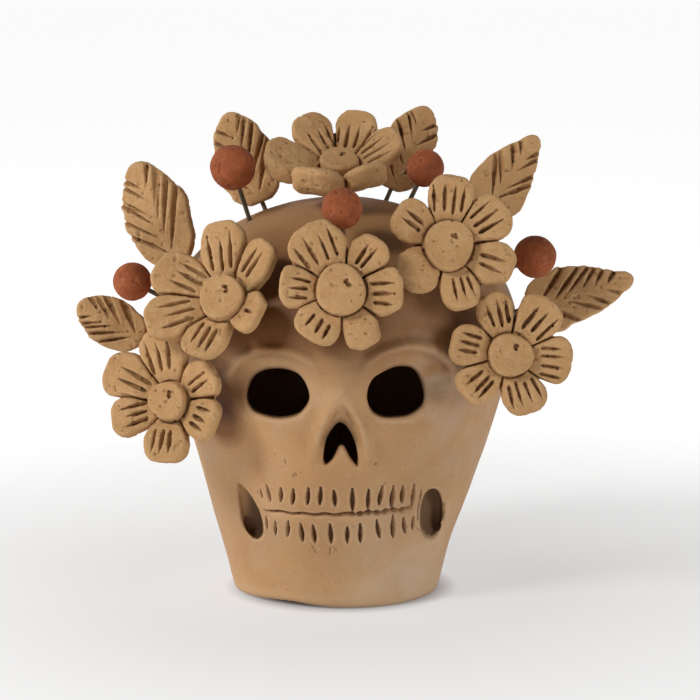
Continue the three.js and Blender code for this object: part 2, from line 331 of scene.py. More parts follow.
# ---- Materials ----
class Shader:
    """A Principled material, its colour so far, and short ways to add the nodes that feed it."""

    def __init__(self, name):
        self.colour = None
        self.material = bpy.data.materials.new(name)
        self.material.use_nodes = True
        self.tree = self.material.node_tree
        self.surface = self.tree.nodes["Principled BSDF"]
        self.place = self.tree.nodes.new("ShaderNodeTexCoord").outputs["Object"]

    def node(self, kind, **inputs):
        made = self.tree.nodes.new("ShaderNode" + kind)
        for key, value in inputs.items():
            self.feed(made.inputs[key.replace("_", " ")], value)
        return made

    def feed(self, socket, value):
        if isinstance(value, bpy.types.NodeSocket):
            self.tree.links.new(value, socket)
        else:
            socket.default_value = value

    def noise(self, size_mm, detail=3.0, roughness=0.55):
        return self.node(
            "TexNoise", Vector=self.place, Scale=MM / size_mm, Detail=detail, Roughness=roughness
        ).outputs["Fac"]

    def spread(self, value, low, high, to_low=0.0, to_high=1.0):
        return self.node(
            "MapRange", Value=value, From_Min=low, From_Max=high, To_Min=to_low, To_Max=to_high
        ).outputs["Result"]

    def mix(self, share, first, second, kind="MIX"):
        made = self.tree.nodes.new("ShaderNodeMix")
        made.data_type = "RGBA"
        made.blend_type = kind
        self.feed(made.inputs["Factor"], share)
        self.feed(made.inputs["A"], first)
        self.feed(made.inputs["B"], second)
        return made.outputs["Result"]

    def multiply(self, first, second):
        made = self.tree.nodes.new("ShaderNodeMath")
        made.operation = "MULTIPLY"
        self.feed(made.inputs[0], first)
        self.feed(made.inputs[1], second)
        return made.outputs["Value"]

    def tint(self, share, tone, strength=1.0):
        """Turns the colour to a tone, where a share is high."""
        self.colour = self.mix(self.multiply(share, strength), self.colour, tone)

    def wash(self, share, tone):
        """Multiplies the colour by a tone, where a share is high."""
        self.colour = self.mix(share, self.colour, tone, "MULTIPLY")

    def stored(self, name):
        made = self.tree.nodes.new("ShaderNodeAttribute")
        made.attribute_name = name
        return made.outputs["Fac"]

    def near(self, place, radius):
        """One at a place that is measured from the skull's axis, falling to zero `radius` away."""
        away = self.tree.nodes.new("ShaderNodeVectorMath")
        away.operation = "DISTANCE"
        self.feed(away.inputs[0], self.place)
        away.inputs[1].default_value = Vector(AXIS + place) / MM
        return self.spread(away.outputs["Value"], radius / MM, 0)

    def finish(self, roughness, specular, *bumps):
        """Feeds the surface, with bumps as (height, depth in mm), and gives the material."""
        inputs = {
            "Base Color": self.colour, "Roughness": roughness, "Specular IOR Level": specular,
        }
        for height, depth_mm in bumps:
            made = self.node("Bump", Height=height, Distance=depth_mm / MM, Strength=1.0)
            if "Normal" in inputs:
                self.feed(made.inputs["Normal"], inputs["Normal"])
            inputs["Normal"] = made.outputs["Normal"]
        for name, value in inputs.items():
            self.feed(self.surface.inputs[name], value)
        return self.material


def rgb(red, green, blue):
    return (red, green, blue, 1.0)


# Painted shadows on the skull, under and beside the flowers, as (place from the axis, radius, strength).
PAINTED_SHADOWS = [
    ([-26, -38, 96], 36, 2.0), ([4, -48, 93], 22, 1.2), ([34, -36, 92], 22, 1.3),
    ([-40, -34, 62], 12, 2.2), ([-39, -35, 71], 12, 2.2), ([-30, -42, 73], 9, 0.9),
]
LARGE_SHADOW = 30  # a painted shadow over this radius stops at the brow


def burnished_clay():
    """Smoothed terracotta: slow colour drift, pale firing marks, fine grains and small pits.

    Painted shade darkens the clay under and behind the flowers, and more in openings and pressed lines;
    ridges carry a painted highlight and the lower part painted light.
    """
    s = Shader("burnished_clay")
    drift = s.spread(s.noise(38, 4), 0.32, 0.68)
    s.colour = s.mix(drift, rgb(0.400, 0.212, 0.088), rgb(0.490, 0.278, 0.122))
    streaks = s.node("TexNoise", Vector=s.place, Scale=MM / 20, Detail=4.0, Distortion=0.8)
    streaks = s.spread(streaks.outputs["Fac"], 0.5, 0.8, 0, 0.55)
    s.tint(streaks, rgb(0.41, 0.27, 0.165))
    brow = s.multiply(s.near([36, -42, 84], 24), s.spread(s.noise(9, 4), 0.38, 0.62))
    s.tint(brow, rgb(0.62, 0.49, 0.36))
    cheek = s.multiply(s.near([44, -30, 58], 30), s.spread(s.noise(14, 4), 0.35, 0.65))
    s.tint(cheek, rgb(0.50, 0.37, 0.26), 0.65)
    grains = s.spread(s.noise(0.9, 2), 0.60, 0.72)
    s.tint(grains, rgb(0.64, 0.46, 0.29), 0.24)
    specks = s.spread(s.noise(1.3, 2), 0.33, 0.25)
    s.tint(specks, rgb(0.17, 0.09, 0.045), 0.5)
    # Painted highlight on ridges and edges.
    s.tint(s.stored("crest_highlight"), rgb(0.56, 0.38, 0.23), 0.30)
    axes = s.node("SeparateXYZ", Vector=s.place).outputs
    heights = axes["Z"]  # in metres
    # Painted light: the clay is lighter towards the bottom, standing in for light from the floor.
    s.wash(s.spread(heights, 0.030, 0.004), rgb(1.12, 1.12, 1.10))
    s.wash(s.near([-27, -42, 50], 26), rgb(1.26, 1.23, 1.16))  # the lit cheek
    # Painted shade: the front of the crown, under the flowers, is darkened.
    in_front = s.spread(axes["Y"], (AXIS[1] + 34) / MM, (AXIS[1] - 6) / MM)
    crown = s.multiply(s.spread(heights, 0.076, 0.100), in_front)
    s.wash(crown, rgb(0.78, 0.71, 0.62))
    # Painted shadows of the flowers on the brow, beside the eyes and on the temples.
    above_brow = s.spread(heights, 0.0835, 0.0890)
    for place, radius, strength in PAINTED_SHADOWS:
        if radius > LARGE_SHADOW:
            strength = s.multiply(above_brow, strength)
        s.wash(s.multiply(s.near(place, radius), strength), rgb(0.45, 0.31, 0.14))
    chin = s.multiply(s.near([20, -26, 8], 34), s.spread(s.noise(16, 4), 0.3, 0.6))
    s.tint(chin, rgb(0.58, 0.42, 0.28), 0.8)
    # Painted shade in grooves, pressed lines and openings.
    s.tint(s.stored("hollow"), rgb(0.075, 0.030, 0.010), 0.84)
    roughness = s.spread(s.noise(6, 4), 0.3, 0.7, 0.56, 0.76)
    return s.finish(roughness, 0.42, (s.noise(5, 3), 0.20), (s.noise(0.8, 3), 0.11))


def sandy_clay():
    """Rough terracotta: gritty, matte, with pale and dark grains."""
    s = Shader("sandy_clay")
    drift = s.spread(s.noise(16, 4), 0.32, 0.68)
    s.colour = s.mix(drift, rgb(0.415, 0.225, 0.090), rgb(0.520, 0.298, 0.130))
    dust = s.spread(s.noise(3.0, 4), 0.45, 0.75, 0, 0.45)
    s.tint(dust, rgb(0.57, 0.36, 0.18))
    pale = s.spread(s.noise(0.65, 2), 0.60, 0.70)
    s.tint(pale, rgb(0.70, 0.52, 0.33), 0.30)
    dark = s.spread(s.noise(0.85, 2), 0.36, 0.27)
    s.tint(dark, rgb(0.20, 0.105, 0.045), 0.6)
    # Painted highlight on ridges and edges.
    s.tint(s.stored("crest_highlight"), rgb(0.60, 0.40, 0.22), 0.25)
    # Painted shade in grooves and creases.
    s.tint(s.stored("hollow"), rgb(0.095, 0.040, 0.014), 0.78)
    roughness = s.spread(s.noise(2, 3), 0.3, 0.7, 0.86, 0.98)
    return s.finish(roughness, 0.25, (s.noise(2.2, 3), 0.20), (s.noise(0.6, 3, 0.7), 0.21))


def red_slip():
    """Matte brick-red slip, thin in places, with dark specks."""
    s = Shader("red_slip")
    drift = s.spread(s.noise(7, 4), 0.3, 0.7)
    s.colour = s.mix(drift, rgb(0.230, 0.056, 0.016), rgb(0.360, 0.092, 0.026))
    thin = s.spread(s.noise(1.6, 4), 0.56, 0.74)
    s.tint(thin, rgb(0.46, 0.19, 0.10), 0.5)
    dark = s.spread(s.noise(0.9, 2), 0.34, 0.25)
    s.tint(dark, rgb(0.10, 0.03, 0.015), 0.5)
    # Painted shade in nicks and creases.
    s.tint(s.stored("hollow"), rgb(0.06, 0.018, 0.008), 0.7)
    roughness = s.spread(s.noise(3, 3), 0.3, 0.7, 0.74, 0.9)
    return s.finish(roughness, 0.35, (s.noise(1.8, 3), 0.16), (s.noise(0.5, 3, 0.65), 0.07))


def dark_wire():
    """Darkened iron wire, faintly rough, with a little rust."""
    s = Shader("dark_wire")
    s.surface.inputs["Metallic"].default_value = 0.45
    rust = s.spread(s.noise(2.5, 4), 0.52, 0.7)
    s.colour = s.mix(rust, rgb(0.120, 0.100, 0.072), rgb(0.200, 0.110, 0.055))
    roughness = s.spread(s.noise(1.2, 3), 0.3, 0.7, 0.45, 0.7)
    return s.finish(roughness, 0.5, (s.noise(0.5, 3), 0.05))


CLAY = burnished_clay()
SAND = sandy_clay()
RED = red_slip()
IRON = dark_wire()


# ---- Skull ----
CROWN_Z = 85.0
CROWN_HALF_WIDTH = (skull_high[0] - skull_low[0]) / 2
CROWN_HALF_DEPTH = (skull_high[1] - skull_low[1]) / 2
DOME_HEIGHT = skull_high[2] + 0.7 - CROWN_Z
BASE_HALF_WIDTH = 34.0
BASE_SHIFT = -1.5  # how far the base stands to one side of the crown
FLARE_COSINE = 0.958  # of the angle between the wall and upright
WALL = 6.6
MOUTH_Z = 33.6


def half_width_at(z):
    """The flared wall's half width: nearly straight, easing off under the crown."""
    share = np.clip(z, 0, CROWN_Z) / CROWN_Z
    flare = 1.03 * share**1.06 - 0.03 * share**8
    return BASE_HALF_WIDTH + (CROWN_HALF_WIDTH - BASE_HALF_WIDTH) * flare


def skull_body(x, y, z):
    """About the distance to the plain outer wall, from the skull's axis."""
    half = half_width_at(z)
    depth = half * CROWN_HALF_DEPTH / CROWN_HALF_WIDTH
    shifted = x - BASE_SHIFT * np.clip(1 - z / CROWN_Z, 0, 1) ** 2
    radius = np.hypot(shifted, y)
    ratio = np.hypot(shifted / half, y / depth)
    lower = (ratio - 1) * radius / np.maximum(ratio, 1e-3) * FLARE_COSINE
    rise = z - CROWN_Z
    a, b, c = CROWN_HALF_WIDTH, CROWN_HALF_DEPTH, DOME_HEIGHT
    k0 = np.sqrt((x / a) ** 2 + (y / b) ** 2 + (rise / c) ** 2)
    k1 = np.sqrt((x / a**2) ** 2 + (y / b**2) ** 2 + (rise / c**2) ** 2)
    upper = k0 * (k0 - 1) / np.maximum(k1, 1e-4)
    share = smooth_step(z, CROWN_Z - 4, CROWN_Z + 6)
    return lower * (1 - share) + upper * share


def rounded(centre, half_width, half_height, power):
    """A superellipse outline."""
    turn = np.linspace(0, 2 * np.pi, 40, endpoint=False)
    u = half_width * np.sign(np.cos(turn)) * np.abs(np.cos(turn)) ** (2 / power)
    v = half_height * np.sign(np.sin(turn)) * np.abs(np.sin(turn)) ** (2 / power)
    return np.stack([u, v], 1) + centre


def curve(points, steps=6):
    """A closed smooth outline through a few points."""
    points = np.array(points, float)
    made = []
    for n in range(len(points)):
        p0, p1, p2, p3 = (points[(n + k) % len(points)] for k in (-1, 0, 1, 2))
        for t in np.arange(steps) / steps:
            made.append(
                0.5 * (2 * p1 + (p2 - p0) * t + (2 * p0 - 5 * p1 + 4 * p2 - p3) * t**2
                       + (3 * p1 - p0 - 3 * p2 + p3) * t**3)
            )
    return np.array(made)


# Outlines on the face, as (X from the axis, Z).
LEFT_EYE_HOLE = curve([(-29.5, 71.2), (-27.8, 76.6), (-24.8, 79.6), (-20.5, 80.9), (-16.1, 80.8),
                       (-12.9, 79.6), (-10.7, 76.4), (-9.7, 71.9), (-11.3, 68.3), (-13.9, 66.0),
                       (-19.3, 64.7), (-25.0, 65.5), (-28.2, 67.4)])
RIGHT_EYE_HOLE = curve([(8.4, 72.9), (10.0, 77.8), (13.5, 80.1), (17.9, 81.7), (22.1, 81.0),
                        (24.6, 77.6), (26.4, 71.9), (25.6, 68.0), (21.8, 65.4), (17.3, 65.0),
                        (12.5, 65.7), (9.4, 68.3)])
NOSE_HOLE = curve([(0.1, 64.0), (2.6, 61.4), (4.7, 56.6), (5.5, 51.4), (5.2, 49.6), (3.0, 52.2),
                   (0.3, 56.8), (-2.5, 52.0), (-4.7, 50.2), (-5.3, 52.4), (-4.5, 58.0), (-2.2, 62.2)])
LEFT_PIT = curve([(-33.2, 41.2), (-28.2, 36.6), (-25.3, 30.4), (-25.0, 24.2), (-27.6, 22.0),
                  (-31.0, 25.4), (-32.6, 32.6)])
RIGHT_PIT = rounded((29.2, 30.2), 3.7, 9.4, 2.3)


# Eye sockets are (centre, half width, half height, ridge height), the ridge being over the socket.
SOCKETS = [((-20.6, 75.6), 14.6, 11.0, 1.3), ((21.4, 75.8), 15.0, 12.0, 1.8)]
SOCKET_DEPTH = 4.2
NOSE_TENT = curve([(0.4, 73.2), (4.6, 67.5), (7.4, 61.0), (8.8, 54.0), (9.4, 46.0),
                   (0.0, 42.0), (-9.0, 46.0), (-8.2, 54.0), (-6.7, 61.0), (-4.0, 67.5)], 4)
TENT_HEIGHT = 2.8

# Humps of the face are (centre, half width, half height, how far each stands out).
BRIDGE = ((0, 80), 6.5, 12, 1.0)
CHIN = ((9, 4), 26, 10, 1.7)
CHEEK_HOLLOWS = [((side * 31, 53), 8, 11, -1.0) for side in (-1, 1)]
CHEEKBONES = [((side * 37, 66), 9, 7, 0.7) for side in (-1, 1)]
MUZZLE_HEIGHT = 2.0


def hump(x, z, centre, half_width, half_height, height):
    across, up = (x - centre[0]) / half_width, (z - centre[1]) / half_height
    return height * np.exp(-(across**2) - up**2)


def socket_relief(x, z, centre, half_width, half_height, ridge):
    """A dished eye socket, deeper at its outer side, under a ridge."""
    side = np.sign(centre[0])
    out = np.hypot((x - centre[0]) / half_width, (z - centre[1]) / half_height)
    outer_side = smooth_step(side * x, 5, 17)
    lid = 0.3 + 0.7 * smooth_step(z, centre[1] - 10, centre[1] + 1)
    dished = np.clip(1 - out**2, 0, 1) ** 1.1 * (0.25 + 0.75 * outer_side)
    upper = smooth_step(z, centre[1] - 4, centre[1] + 6) * smooth_step(side * x, 5, 12)
    return ridge * np.exp(-(((out - 1.09) / 0.13) ** 2)) * upper - SOCKET_DEPTH * lid * dished


def tent_relief(x, z):
    """The folded edge over the nose, which sinks again towards the hole."""
    tent = outline_distance(x, z, NOSE_TENT)
    apex = smooth_step(z, 66, 72)
    wall = np.exp(-((np.maximum(tent, 0) / (1.8 + 1.8 * apex)) ** 2))
    wall = wall * (1 - 1.2 * smooth_step(-tent, 0.4, 2.6) * (1 - apex))
    return TENT_HEIGHT * wall * smooth_step(z, 47, 62)


def relief(x, z):
    """How far the face stands out from the plain wall, at a place on the front."""
    height = tent_relief(x, z)
    for socket in SOCKETS:
        height = height + socket_relief(x, z, *socket)
    for shape in (BRIDGE, CHIN, *CHEEK_HOLLOWS, *CHEEKBONES):
        height = height + hump(x, z, *shape)
    muzzle = np.exp(-((((x + 0.4) / 27) ** 2 + ((z - 34) / 19) ** 2) ** 2))
    return height + MUZZLE_HEIGHT * muzzle


# The shell's lower edge is lifted at the front left, and its lower right side is slimmer.
RIM_LIFT = 1.4
SLIMMING = 0.9
EYE_EDGE, NOSE_EDGE, PIT_EDGE = 1.5, 1.9, 0.7  # how softly each opening's edge is rounded


def cheek_pits(x, z, body):
    """The two blind pits, with their floors measured from the plain wall."""
    left_floor = np.interp(x, [-33, -27], [0.8, 5.1])
    left = smooth_max(outline_distance(x, z, LEFT_PIT), -(body + left_floor), 1.8)
    right_floor = 5.0 - 2.6 * smooth_step(z, 27, 20.5)
    right = smooth_max(outline_distance(x, z, RIGHT_PIT), -(body + right_floor), 3.0)
    return left, right


def skull_field(x, y, z):
    """The whole shell, from points in the axis frame."""
    body = skull_body(x, y, z)
    front = smooth_step(-y, 4, 14)
    slimmer = SLIMMING * np.exp(-(((z - 14) / 15) ** 2)) * smooth_step(x, 12, 32)
    outer = body + slimmer - front * relief(x, z)
    shell = smooth_max(outer, -(body + WALL), 0.5)
    lift = RIM_LIFT * np.exp(-(((x + 18) / 12) ** 2)) * smooth_step(-y, 0, 16)
    shell = smooth_max(shell, lift - z, 1.8)
    behind = 1000 * (1 - front)  # keeps the openings out of the back of the skull
    for outline, edge in ((LEFT_EYE_HOLE, EYE_EDGE), (RIGHT_EYE_HOLE, EYE_EDGE), (NOSE_HOLE, NOSE_EDGE)):
        shell = smooth_max(shell, -(outline_distance(x, z, outline) + behind), edge)
    for pit in cheek_pits(x, z, body):
        shell = smooth_max(shell, -(pit + behind), PIT_EDGE)
    return shell


def skull_points_field(points):
    return skull_field(*(points - AXIS).T)


def settle(mesh, chosen):
    """Moves chosen points on to the skull's surface, along the field's slope."""
    points = mesh_points(mesh)
    part = points[chosen]
    step = 0.05
    for _ in range(2):
        value = skull_points_field(part)
        slope = np.stack([skull_points_field(part + step * way) - value for way in np.eye(3)], 1) / step
        size = np.maximum((slope**2).sum(1), 0.25)
        part = part - slope * np.clip(value / size, -0.4, 0.4)[:, None]
    points[chosen] = part
    move_points(mesh, points)


def subdivide_where(mesh, wanted):
    """Splits each face whose middle is wanted into four."""
    bm = bmesh.new()
    bm.from_mesh(mesh)
    edges = set()
    for face in bm.faces:
        if wanted(face.calc_center_median() * MM - Vector(AXIS), face.normal):
            edges.update(face.edges)
    bmesh.ops.subdivide_edges(bm, edges=list(edges), cuts=1, use_grid_fill=True)
    bm.to_mesh(mesh)
    bm.free()
    shade_smooth(mesh)


def faces_front(centre, normal):
    return normal.y < -0.15 and centre.y < -24


def on_face(centre, normal):
    return faces_front(centre, normal) and abs(centre.x) < 39 and 19 < centre.z < 92


def on_mouth_or_nose(centre, normal):
    near_mouth = abs(centre.x) < 35 and 18 < centre.z < 45
    near_nose = abs(centre.x) < 11 and 48 < centre.z < 75
    return faces_front(centre, normal) and (near_mouth or near_nose)


# Tooth gaps, the upper row first, and cracks: (X and Z at the top, X and Z at the bottom, half width).
GAP_DEPTH = 2.1
CRACK_DEPTH = 0.45
GAPS = [
    (-25.6, 40.2, -25.0, 37.2, 0.30), (-23.6, 42.2, -22.4, 36.4, 0.42), (-19.0, 41.8, -19.0, 36.9, 0.50),
    (-15.0, 41.8, -15.3, 36.2, 0.55), (-10.2, 42.2, -10.5, 36.4, 0.55), (-6.3, 42.4, -6.6, 36.6, 0.68),
    (-2.1, 41.4, -1.7, 36.2, 0.70), (3.8, 42.0, 3.9, 34.4, 0.75), (9.0, 41.6, 8.8, 34.9, 0.58),
    (13.3, 42.4, 12.4, 36.2, 0.62), (16.9, 42.4, 16.3, 34.9, 0.62), (19.9, 42.0, 19.6, 36.4, 0.60),
    (23.5, 42.0, 22.9, 34.6, 0.50), (25.8, 39.6, 24.9, 29.0, 0.45),
    (-23.9, 31.0, -23.6, 26.6, 0.30), (-20.9, 29.8, -20.9, 24.9, 0.38), (-16.7, 30.4, -17.0, 24.9, 0.48),
    (-12.8, 29.8, -12.1, 23.5, 0.62), (-8.9, 29.4, -8.2, 23.4, 0.66), (-3.4, 29.8, -3.0, 23.4, 0.72),
    (2.2, 28.8, 2.2, 23.4, 0.66), (6.4, 29.8, 6.4, 23.4, 0.66), (11.6, 30.8, 12.6, 24.6, 0.62),
    (16.8, 32.0, 16.9, 24.3, 0.60), (20.2, 31.0, 20.8, 25.3, 0.52), (23.5, 31.0, 23.2, 26.0, 0.42),
]
CRACKS = [
    (-9.4, 22.6, -7.6, 19.2, 0.22), (-3.2, 22.6, -3.6, 18.4, 0.22), (-2.6, 22.4, -1.2, 20.4, 0.20),
    (-17.6, 51.6, -17.3, 49.4, 0.24), (-13.6, 47.2, -15.4, 45.6, 0.22), (11.8, 51.4, 10.6, 49.8, 0.22),
    (-26.8, 39.6, -25.6, 38.2, 0.24), (24.6, 26.4, 26.0, 24.4, 0.24), (14.4, 43.8, 13.6, 42.6, 0.2),
]


def mouth_height(points):
    """The pressed line between the teeth, the tooth gaps and a few drying cracks."""
    x, y, z = (points - AXIS).T
    front = (y < -18).astype(float)
    flat = np.zeros_like(x)
    height = np.zeros_like(x)
    for marks, depth in ((GAPS, GAP_DEPTH), (CRACKS, CRACK_DEPTH)):
        for top_x, top_z, low_x, low_z, half in marks:
            away = segment_distance(x, flat, z, (top_x, 0, top_z), (low_x, 0, low_z))
            share = np.clip((top_z - z) / (top_z - low_z), 0, 1)
            lens = 1.15 * half * (0.35 + 0.65 * np.sin(np.pi * share**1.25))
            cut = depth * min(1.0, 0.4 + half) * np.exp(-((away / lens) ** 4))
            height = np.minimum(height, -cut)
    line_z = MOUTH_Z - 0.5 * np.cos(x / 15) + 0.22 * np.sin(x * 0.9) + 0.02 * x
    ends = smooth_step(x, -25.5, -22) * smooth_step(x, 23.5, 21)
    ragged = 0.3 * smooth_step(x, 0, 6) * np.sin(x * 2.3)
    half = np.interp(x, [-24, -4, 4, 22], [0.50, 0.58, 0.68, 0.62]) * (1 + ragged)
    depth = np.interp(x, [-24, 0, 5, 22], [1.3, 1.7, 2.6, 2.5])
    away = z - line_z
    line = -depth * np.exp(-(np.abs(away / half) ** 3)) * ends
    ledge = -0.75 * ends * smooth_step(away, -2.8, -0.2) * (away < 0)
    pits = np.minimum(outline_distance(x, z, LEFT_PIT), outline_distance(x, z, RIGHT_PIT))
    return front * (pits > 0.3) * np.minimum(height, line + ledge)


def sockets_cutter():
    """Every wire's socket in the shell, as one object of rods."""
    points, faces = [], []
    for clay, wire in wires():
        inner, outer = wire_ends(clay, wire)
        along = unit(outer - inner)
        start, end = inner - along * SOCKET_SPARE, inner + along * (WALL + 2.4)
        ring, sides = tube([start, end], [SOCKET_RADIUS, SOCKET_RADIUS], 12)
        faces += [[corner + len(points) for corner in face] for face in sides]
        points += list(ring)
    return add_object("sockets", polygon_mesh("sockets", points, faces))


def cut(piece, cutter):
    """Takes the cutter out of the piece, and removes the cutter."""
    change = piece.modifiers.new("cut", "BOOLEAN")
    change.operation = "DIFFERENCE"
    change.solver = "MANIFOLD"
    change.object = cutter
    bpy.context.view_layer.update()
    made = bpy.data.meshes.new_from_object(
        piece.evaluated_get(bpy.context.evaluated_depsgraph_get())
    )
    piece.modifiers.clear()
    old = piece.data
    piece.data = made
    bpy.data.meshes.remove(old)
    bpy.data.objects.remove(cutter)


def recess_depth(points):
    """From 0 to 1, how deep a point lies inside one of the face's openings and how near it is to the nose
    hole's upper edge; it sets the painted shade there.
    """
    x, y, z = (points - AXIS).T
    depth = smooth_step(-skull_body(x, y, z), 0.8, 4.5) * (y < -12)
    share = np.zeros_like(x)
    for outline in (LEFT_EYE_HOLE, RIGHT_EYE_HOLE, NOSE_HOLE, LEFT_PIT, RIGHT_PIT):
        share = np.maximum(share, smooth_step(-outline_distance(x, z, outline), -1.6, -0.4))
    funnel = smooth_step(-outline_distance(x, z, NOSE_HOLE), -2.6, 0.2) * smooth_step(z, 54, 60)
    return np.maximum(depth * share, 0.9 * funnel * (y < -12))


def make_skull():
    """The shell, meshed coarsely, then finer on the face and finer still at the mouth and nose."""
    low = np.array([-CROWN_HALF_WIDTH - 4, -CROWN_HALF_DEPTH - 5, -3])
    high = np.array([CROWN_HALF_WIDTH + 4, CROWN_HALF_DEPTH + 4, skull_high[2] + 4])
    x, y, z = grid(low, high, SKULL_STEP)
    points, faces = surface(skull_field(x, y, z), low, SKULL_STEP)
    mesh = make_mesh("skull", points + AXIS, faces)
    settle(mesh, np.full(len(mesh.vertices), True))
    for region in (on_face, on_mouth_or_nose):
        before = len(mesh.vertices)
        subdivide_where(mesh, region)
        settle(mesh, np.arange(len(mesh.vertices)) >= before)
    points = mesh_points(mesh)
    formed = 0.35 * noise(points, 26, 1) + 0.14 * noise(points, 9, 2) + 0.04 * noise(points, 2.5, 3)
    push(mesh, formed)
    push(mesh, mouth_height(points))
    piece = add_piece("skull", mesh, CLAY, ROOT_BODY, "skull_shell")
    cut(piece, sockets_cutter())
    # Openings and the nose hole's edge get painted shade.
    mark_hollows(piece.data, recess_depth(mesh_points(piece.data)))


# ---- Wires ----
def tube(path, radii, sides):
    """Points and faces of a closed tube along a path."""
    path = np.array(path, float)
    ways = np.gradient(path, axis=0)
    side = unit(np.cross(ways[0], [0.31, 0.87, 0.38]))
    points, faces = [], []
    for centre, way, radius in zip(path, ways, radii):
        way = unit(way)
        side = unit(side - way * side.dot(way))
        other = np.cross(way, side)
        for turn in np.arange(sides) * 2 * np.pi / sides:
            points.append(centre + radius * (side * math.cos(turn) + other * math.sin(turn)))
    for ring in range(len(path) - 1):
        for k in range(sides):
            a, b = ring * sides + k, ring * sides + (k + 1) % sides
            faces.append([a, b, b + sides, a + sides])
    faces.append(list(range(sides))[::-1])
    faces.append([(len(path) - 1) * sides + k for k in range(sides)])
    return points, faces


BERRIES = ["left_berry", "crown_left_berry", "brow_berry", "crown_right_berry", "right_berry"]


def wires():
    """Each wire's clay node and its own node."""
    pairs = [(name + "_petals", name + "_wire") for name in FLOWERS]
    return pairs + [(name, name + "_wire") for name in [*LEAVES, *BERRIES]]


def make_wire(clay, wire, body):
    """A drawn wire, a little uneven, with softened ends."""
    inner, outer = wire_ends(clay, wire)
    shares = np.array([0, 0.015, 0.04, *np.linspace(0.1, 0.9, 17), 0.96, 0.985, 1])
    path = inner + shares[:, None] * (outer - inner)
    uneven = WIRE_RADIUS * (1 + 0.05 * noise(path, 2.5, 7))
    uneven[[0, -1]] *= 0.6
    uneven[[1, -2]] *= 0.88
    points, faces = tube(path, uneven, 20)
    mesh = polygon_mesh(wire, points, faces)
    shade_smooth(mesh)
    add_piece(wire + "_drawn", mesh, IRON, body, wire)


# ---- Flowers ----
# Petals are (direction in degrees, reach, width, rise of the tip, lift, tilt, pressed grooves), and
# for a swollen one how much its tip's half thickness gains.
FLOWERS = {
    "top_flower": [
        (123, 24, 15.5, 7.5, 0.3, 4, 3), (81, 23.5, 16, 7.5, 0, -4, 4), (30, 21, 15.5, 6, 0.6, 6, 4),
        (-50, 19.5, 15, 7.6, 0.4, -9, 0, 2.4), (-112, 21, 18.5, 7.2, 0.9, 7, 0, 3.1),
        (175, 24.5, 17.5, 4.6, 0.2, -5, 0, 1.2),
    ],
    "brow_flower": [
        (118, 22.9, 18, 1.5, 0.9, 4, 4), (53, 19.8, 12.4, 2, 0, -12, 2), (0, 19.2, 15.6, 1, 0.6, 5, 3),
        (-62, 19.4, 11.8, 1, 0.2, -4, 0), (-126, 18.2, 16, 1.5, 0.6, 6, 3), (173, 19.0, 14.6, 1.5, 0, -5, 3),
    ],
    "left_temple_flower": [
        (104, 25.5, 16, 3, 0.5, 0, 3), (58, 22.5, 13.5, 3, 0, -8, 2), (-22, 15.6, 14, 3, 0.7, 8, 1),
        (-108, 20.4, 15.5, 1.5, 0.2, 3, 3), (-158, 26.5, 16.5, 2, 0.6, -3, 3), (160, 27, 15.5, 2.5, 0, 4, 3),
    ],
    "left_cheek_flower": [
        (106, 23.4, 15.6, 1.5, 0.7, 3, 3), (36, 18.2, 14, 1.5, 0, -4, 2), (-20, 18.0, 15.4, 1, 0.4, 5, 3),
        (-89, 19.5, 15, 1, 0.6, -2, 3), (-159, 21.4, 14.0, 1, 0.1, 4, 3), (159, 25.6, 15.8, 1.5, 0.3, -4, 3),
    ],
    "right_temple_flower": [
        (84, 22.3, 15.2, 1.5, 0.5, 3, 4), (33, 22.5, 15, 1.5, 0.1, -4, 3), (-21, 21.8, 14.2, 1, 0.5, 3, 2),
        (-76, 20.4, 13.2, 1, 0, -3, 3), (-144, 18.8, 15.5, 1, 0.6, 4, 0), (143, 19.8, 13.6, 1.5, 0.1, -5, 2),
    ],
    "right_cheek_flower": [
        (107, 20.3, 13.4, 1.5, 0.3, 3, 3), (49, 21.5, 15.6, 1, 0.7, -3, 3), (-8, 20.0, 15, 1, 0.2, 3, 4),
        (-71, 19.4, 14.4, 1, 0.6, -2, 4), (-140, 19.4, 13.6, 1, 0, 4, 3), (166, 19.4, 13.8, 1.5, 0.5, -4, 3),
    ],
}
PETAL_HALF_THICKNESS = 2.25


def petal_outline(reach, width, jitter):
    """A paddle: narrow at the hub, wide near a blunt tip."""
    half = width / 2
    return curve([
        (1.0, half * 0.5), (reach * 0.36, half * 0.80), (reach * 0.62, half * (0.99 + jitter[0])),
        (reach * 0.85, half * (0.90 + jitter[1])), (reach * 0.975, half * 0.55),
        (reach, half * jitter[2] * 2), (reach * 0.975, -half * 0.55),
        (reach * 0.85, -half * (0.90 + jitter[3])), (reach * 0.62, -half * (0.99 + jitter[4])),
        (reach * 0.36, -half * 0.80), (1.0, -half * 0.5),
    ], 5)


def petal_lines(x, y, petal):
    """How far along and across a petal each place is."""
    turn = math.radians(petal[0])
    return x * math.cos(turn) + y * math.sin(turn), y * math.cos(turn) - x * math.sin(turn)


